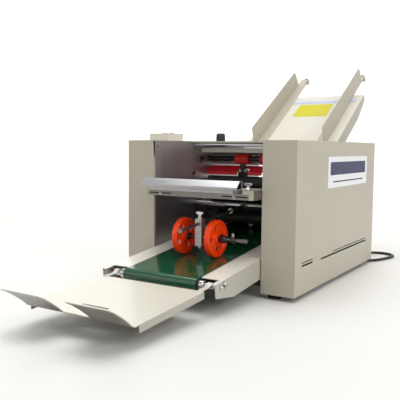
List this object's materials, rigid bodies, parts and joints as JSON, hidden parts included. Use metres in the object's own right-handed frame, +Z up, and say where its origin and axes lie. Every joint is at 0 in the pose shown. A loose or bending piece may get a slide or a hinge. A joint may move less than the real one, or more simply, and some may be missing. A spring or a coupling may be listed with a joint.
{
  "type": "paper folding machine",
  "caption": "Desktop machine that feeds sheets from a sloping table, folds them in two between rollers and fold plates, and lays them out on a belt and tray.",
  "frame": {"origin": "on the table surface, below the middle of the machine without its cord", "axes": "+X to the machine's right side seen from the front, +Y towards the feed table at the rear, +Z up; paper comes out towards -Y"},
  "size_m": [0.4368, 1.171, 0.5264],
  "materials": {
    "housing_paint": "gloss",
    "cream_paint": "gloss",
    "black_paint": "satin",
    "red_paint": "gloss",
    "zinc_steel": "satin",
    "chrome_steel": "polished",
    "aluminium": "satin",
    "black_rubber": "matte",
    "red_rubber": "matte",
    "wheel_rubber": "satin",
    "belt_green": "gloss",
    "black_plastic": "matte",
    "pale_plastic": "satin",
    "green_plastic": "satin",
    "red_plastic": "satin"
  },
  "bodies": {
    "chassis": {"right_side_plate": "zinc_steel", "left_side_plate": "zinc_steel", "right_cover": "housing_paint", "left_cover": "housing_paint", "foot_front_right": "black_rubber", "foot_front_left": "black_rubber", "foot_rear_right": "black_rubber", "foot_rear_left": "black_rubber", "base_channel_front": "black_paint", "base_channel_rear": "black_paint", "top_cover": "housing_paint", "top_tie_rod": "chrome_steel", "upper_crossbar": "housing_paint", "cross_rod": "chrome_steel", "control_box": "pale_plastic", "guide_rod": "chrome_steel", "separator_bar": "black_paint", "red_guide_plate": "red_paint", "drive_motor": "zinc_steel", "conveyor_rail_right": "cream_paint", "conveyor_rail_left": "cream_paint", "conveyor_belt": "belt_green", "conveyor_bed": "zinc_steel", "front_axle": "chrome_steel", "fold_plate_support": "housing_paint", "rear_fold_plate": "zinc_steel", "feed_table": "cream_paint", "cord_gland": "black_plastic", "cord_coil": "black_rubber", "power_cord": "black_rubber", "power_plug": "black_plastic"},
    "top_knob": {"top_knob": "black_plastic"},
    "start_button": {"start_button": "green_plastic"},
    "stop_button": {"stop_button": "red_plastic"},
    "power_switch": {"power_switch": "black_plastic"},
    "feed_shaft": {"feed_shaft": "black_paint", "feed_hub_right": "red_rubber", "feed_hub_left": "red_rubber"},
    "fold_roller_1": {"fold_roller_1": "black_rubber"},
    "fold_roller_2": {"fold_roller_2": "black_rubber"},
    "fold_roller_3": {"fold_roller_3": "black_rubber"},
    "fold_roller_4": {"fold_roller_4": "black_rubber"},
    "motor_pinion": {"motor_pinion": "zinc_steel"},
    "rear_roller": {"rear_roller": "black_rubber"},
    "front_roller": {"front_roller": "black_rubber"},
    "receiving_tray": {"receiving_tray": "cream_paint"},
    "press_arm": {"press_rod": "zinc_steel"},
    "press_block": {"press_block": "zinc_steel", "press_axle": "chrome_steel"},
    "press_wing_knob": {"press_wing_knob": "aluminium"},
    "press_wheel_right": {"press_wheel_right": "wheel_rubber"},
    "press_wheel_left": {"press_wheel_left": "wheel_rubber"},
    "front_fold_plate": {"front_fold_plate": "zinc_steel", "fold_plate_bar": "aluminium"},
    "fold_plate_knob_right": {"fold_plate_knob_right": "aluminium"},
    "fold_plate_knob_left": {"fold_plate_knob_left": "aluminium"},
    "feed_guide_right": {"feed_guide_right": "cream_paint"},
    "feed_guide_left": {"feed_guide_left": "cream_paint"},
    "guide_knob_right": {"guide_knob_right": "black_plastic"},
    "guide_knob_left": {"guide_knob_left": "black_plastic"}
  },
  "joints": [
    {"name": "top_knob_turn", "type": "hinge", "parent": "chassis", "child": "top_knob", "pos_m": [-0.076, 0.02959, 0.3103], "axis": [0, 0, 1], "range_deg": [-360, 360]},
    {"name": "start_press", "type": "slide", "parent": "chassis", "child": "start_button", "axis": [0, 0, -1], "range_m": [0, 0.0015], "stiffness_N_per_m": 400, "springref_m": -0.001},
    {"name": "stop_press", "type": "slide", "parent": "chassis", "child": "stop_button", "axis": [0, 0, -1], "range_m": [0, 0.0015], "stiffness_N_per_m": 400, "springref_m": -0.001},
    {"name": "power_switch_rock", "type": "hinge", "parent": "chassis", "child": "power_switch", "pos_m": [0.168, 0.33859, 0.084], "axis": [1, 0, 0], "range_deg": [0, 12]},
    {"name": "feed_shaft_spin", "type": "hinge", "parent": "chassis", "child": "feed_shaft", "pos_m": [0, 0.06459, 0.269], "axis": [1, 0, 0], "continuous": true},
    {"name": "fold_roller_1_spin", "type": "hinge", "parent": "chassis", "child": "fold_roller_1", "pos_m": [0, 0.03959, 0.2145], "axis": [1, 0, 0], "continuous": true},
    {"name": "fold_roller_2_spin", "type": "hinge", "parent": "chassis", "child": "fold_roller_2", "pos_m": [0, 0.03959, 0.1866], "axis": [1, 0, 0], "continuous": true},
    {"name": "fold_roller_3_spin", "type": "hinge", "parent": "chassis", "child": "fold_roller_3", "pos_m": [0, 0.03959, 0.1587], "axis": [1, 0, 0], "continuous": true},
    {"name": "fold_roller_4_spin", "type": "hinge", "parent": "chassis", "child": "fold_roller_4", "pos_m": [0, 0.03959, 0.1308], "axis": [1, 0, 0], "continuous": true},
    {"name": "motor_pinion_spin", "type": "hinge", "parent": "chassis", "child": "motor_pinion", "pos_m": [0.138, 0.06439, 0.12687], "axis": [1, 0, 0], "continuous": true},
    {"name": "rear_roller_spin", "type": "hinge", "parent": "chassis", "child": "rear_roller", "pos_m": [0, 0.08559, 0.09601], "axis": [1, 0, 0], "continuous": true},
    {"name": "front_roller_spin", "type": "hinge", "parent": "chassis", "child": "front_roller", "pos_m": [0, -0.30941, 0.05058], "axis": [1, 0, 0], "continuous": true},
    {"name": "tray_lift", "type": "hinge", "parent": "chassis", "child": "receiving_tray", "pos_m": [0, -0.30941, 0.05058], "axis": [-1, 0, 0], "range_deg": [0, 60]},
    {"name": "press_arm_lift", "type": "hinge", "parent": "chassis", "child": "press_arm", "pos_m": [0.006, 0.00259, 0.1646], "axis": [-1, 0, 0], "range_deg": [0, 7]},
    {"name": "press_block_slide", "type": "slide", "parent": "press_arm", "child": "press_block", "axis": [0, -0.9935, -0.1142], "range_m": [-0.1, 0.055]},
    {"name": "press_wing_knob_turn", "type": "hinge", "parent": "press_block", "child": "press_wing_knob", "pos_m": [0.006, -0.18841, 0.1523], "axis": [0, 0, 1], "range_deg": [0, 360]},
    {"name": "press_wheel_right_spin", "type": "hinge", "parent": "press_block", "child": "press_wheel_right", "pos_m": [0.044, -0.18841, 0.11503], "axis": [1, 0, 0], "continuous": true},
    {"name": "press_wheel_left_spin", "type": "hinge", "parent": "press_block", "child": "press_wheel_left", "pos_m": [-0.0317, -0.18841, 0.11503], "axis": [1, 0, 0], "continuous": true},
    {"name": "front_fold_plate_slide", "type": "slide", "parent": "chassis", "child": "front_fold_plate", "axis": [0, -0.9988, 0.0499], "range_m": [0, 0.04]},
    {"name": "fold_plate_knob_right_turn", "type": "hinge", "parent": "chassis", "child": "fold_plate_knob_right", "pos_m": [0.114, -0.18841, 0.2138], "axis": [0, 0, 1], "range_deg": [0, 360]},
    {"name": "fold_plate_knob_left_turn", "type": "hinge", "parent": "chassis", "child": "fold_plate_knob_left", "pos_m": [-0.114, -0.18841, 0.2138], "axis": [0, 0, 1], "range_deg": [0, 360]},
    {"name": "feed_guide_right_slide", "type": "slide", "parent": "chassis", "child": "feed_guide_right", "axis": [1, 0, 0], "range_m": [-0.04, 0.02]},
    {"name": "feed_guide_left_slide", "type": "slide", "parent": "chassis", "child": "feed_guide_left", "axis": [-1, 0, 0], "range_m": [-0.04, 0.02]},
    {"name": "guide_knob_right_turn", "type": "hinge", "parent": "feed_guide_right", "child": "guide_knob_right", "pos_m": [0.0887, 0.57166, 0.50117], "axis": [0, 0.8387, 0.5446], "range_deg": [0, 360]},
    {"name": "guide_knob_left_turn", "type": "hinge", "parent": "feed_guide_left", "child": "guide_knob_left", "pos_m": [-0.0887, 0.57166, 0.50117], "axis": [0, 0.8387, 0.5446], "range_deg": [0, 360]}
  ],
  "couplings": [
    {"joint": "fold_roller_2_spin", "follows": "fold_roller_1_spin", "ratio": -1},
    {"joint": "fold_roller_3_spin", "follows": "fold_roller_1_spin", "ratio": 1},
    {"joint": "fold_roller_4_spin", "follows": "fold_roller_1_spin", "ratio": -1},
    {"joint": "motor_pinion_spin", "follows": "fold_roller_1_spin", "ratio": 1.25},
    {"joint": "front_roller_spin", "follows": "rear_roller_spin", "ratio": 1}
  ]
}
